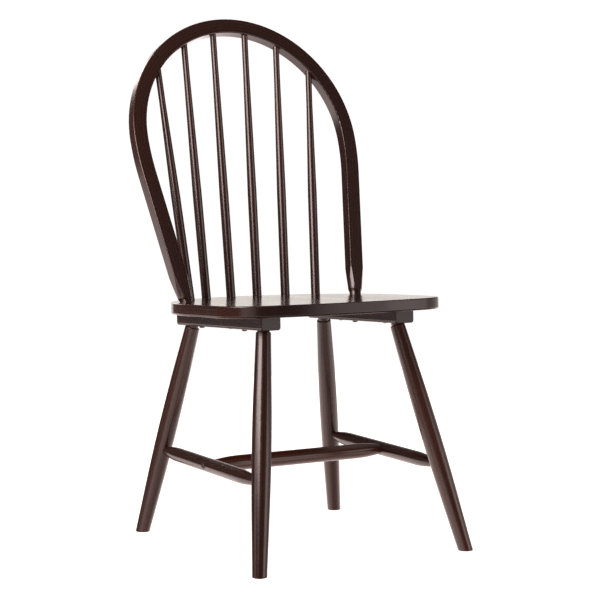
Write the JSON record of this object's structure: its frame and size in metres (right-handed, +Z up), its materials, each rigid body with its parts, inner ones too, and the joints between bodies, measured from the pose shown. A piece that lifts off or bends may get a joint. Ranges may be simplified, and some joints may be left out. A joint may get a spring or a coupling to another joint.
{
  "type": "dining chair",
  "caption": "Hoop-back wooden dining chair with a flat rounded seat, slim tapered spindles, splayed turned legs and an H-shaped stretcher set.",
  "frame": {"origin": "on the floor, under the middle of the chair's overall width and depth", "axes": "+Z up; the chair faces -Y, with the hoop back towards +Y; +X is to the right of someone looking at the chair from the front"},
  "size_m": [0.4826, 0.5318, 0.9766],
  "materials": {
    "stained_wood": "dark espresso stain under satin lacquer",
    "bolt_steel": "black-brown satin coating",
    "insert_steel": "zinc plated"
  },
  "bodies": {
    "root": {"seat": "stained_wood", "hoop": "stained_wood", "spindle_1": "stained_wood", "spindle_2": "stained_wood", "spindle_3": "stained_wood", "spindle_4": "stained_wood", "spindle_5": "stained_wood", "spindle_6": "stained_wood", "cleat_left": "stained_wood", "cleat_right": "stained_wood", "leg_front_left": "stained_wood", "leg_front_right": "stained_wood", "leg_rear_left": "stained_wood", "leg_rear_right": "stained_wood", "side_stretcher_left": "stained_wood", "side_stretcher_right": "stained_wood", "cross_stretcher": "stained_wood", "seat_bolts": "bolt_steel", "stretcher_bolts": "bolt_steel", "seat_inserts": "insert_steel", "stretcher_inserts": "insert_steel"}
  },
  "joints": []
}
